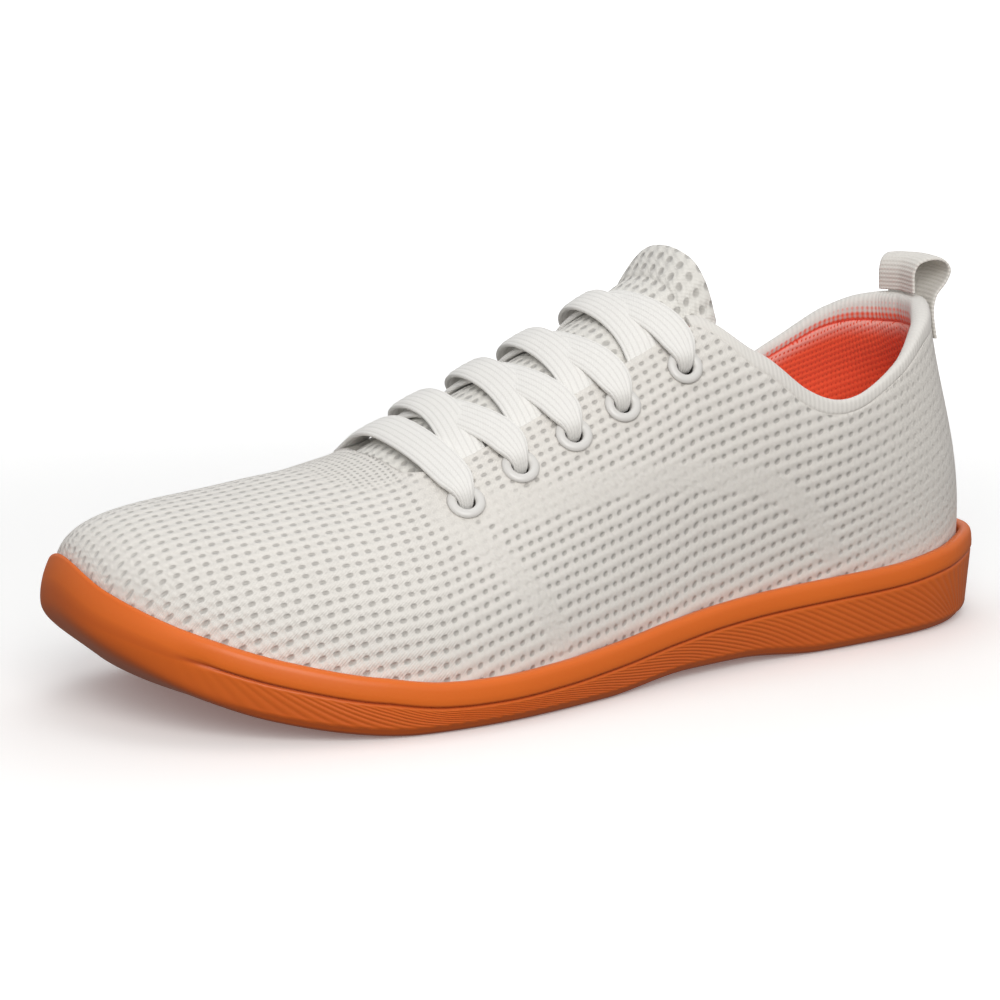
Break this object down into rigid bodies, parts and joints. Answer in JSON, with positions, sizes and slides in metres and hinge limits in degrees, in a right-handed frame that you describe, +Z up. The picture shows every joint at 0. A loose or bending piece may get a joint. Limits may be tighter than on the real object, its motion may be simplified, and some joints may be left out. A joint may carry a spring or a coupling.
{
  "type": "court shoe",
  "caption": "Low-top indoor court shoe for the left foot: hollow knit upper with tongue, laced throat and heel loop on a ribbed gum rubber cup sole, to be worn on the foot.",
  "frame": {"origin": "on the floor, under the middle of the bounding box", "axes": "+X from heel to toe, +Y to the outer (left) side, +Z up from the floor"},
  "size_m": [0.2836, 0.1103, 0.1104],
  "materials": {
    "gum_rubber": "satin gum rubber, ribbed on the side",
    "insole_foam": "matt cloth over foam",
    "knit": "off-white knit with small holes",
    "tongue_knit": "off-white knit",
    "binding": "smooth white strip",
    "webbing": "white woven webbing",
    "eyelet_plastic": "white moulded plastic",
    "lace": "white flat lace"
  },
  "bodies": {
    "root": {"outsole": "gum_rubber", "insole": "insole_foam", "upper": "knit", "tongue": "tongue_knit", "collar_binding": "binding", "pull_loop": "webbing", "eyelet_lateral_1": "eyelet_plastic", "eyelet_lateral_2": "eyelet_plastic", "eyelet_lateral_3": "eyelet_plastic", "eyelet_lateral_4": "eyelet_plastic", "eyelet_lateral_5": "eyelet_plastic", "eyelet_medial_1": "eyelet_plastic", "eyelet_medial_2": "eyelet_plastic", "eyelet_medial_3": "eyelet_plastic", "eyelet_medial_4": "eyelet_plastic", "eyelet_medial_5": "eyelet_plastic", "lace_bar": "lace", "lace_cross_1": "lace", "lace_cross_2": "lace", "lace_cross_3": "lace", "lace_cross_4": "lace"}
  },
  "joints": []
}
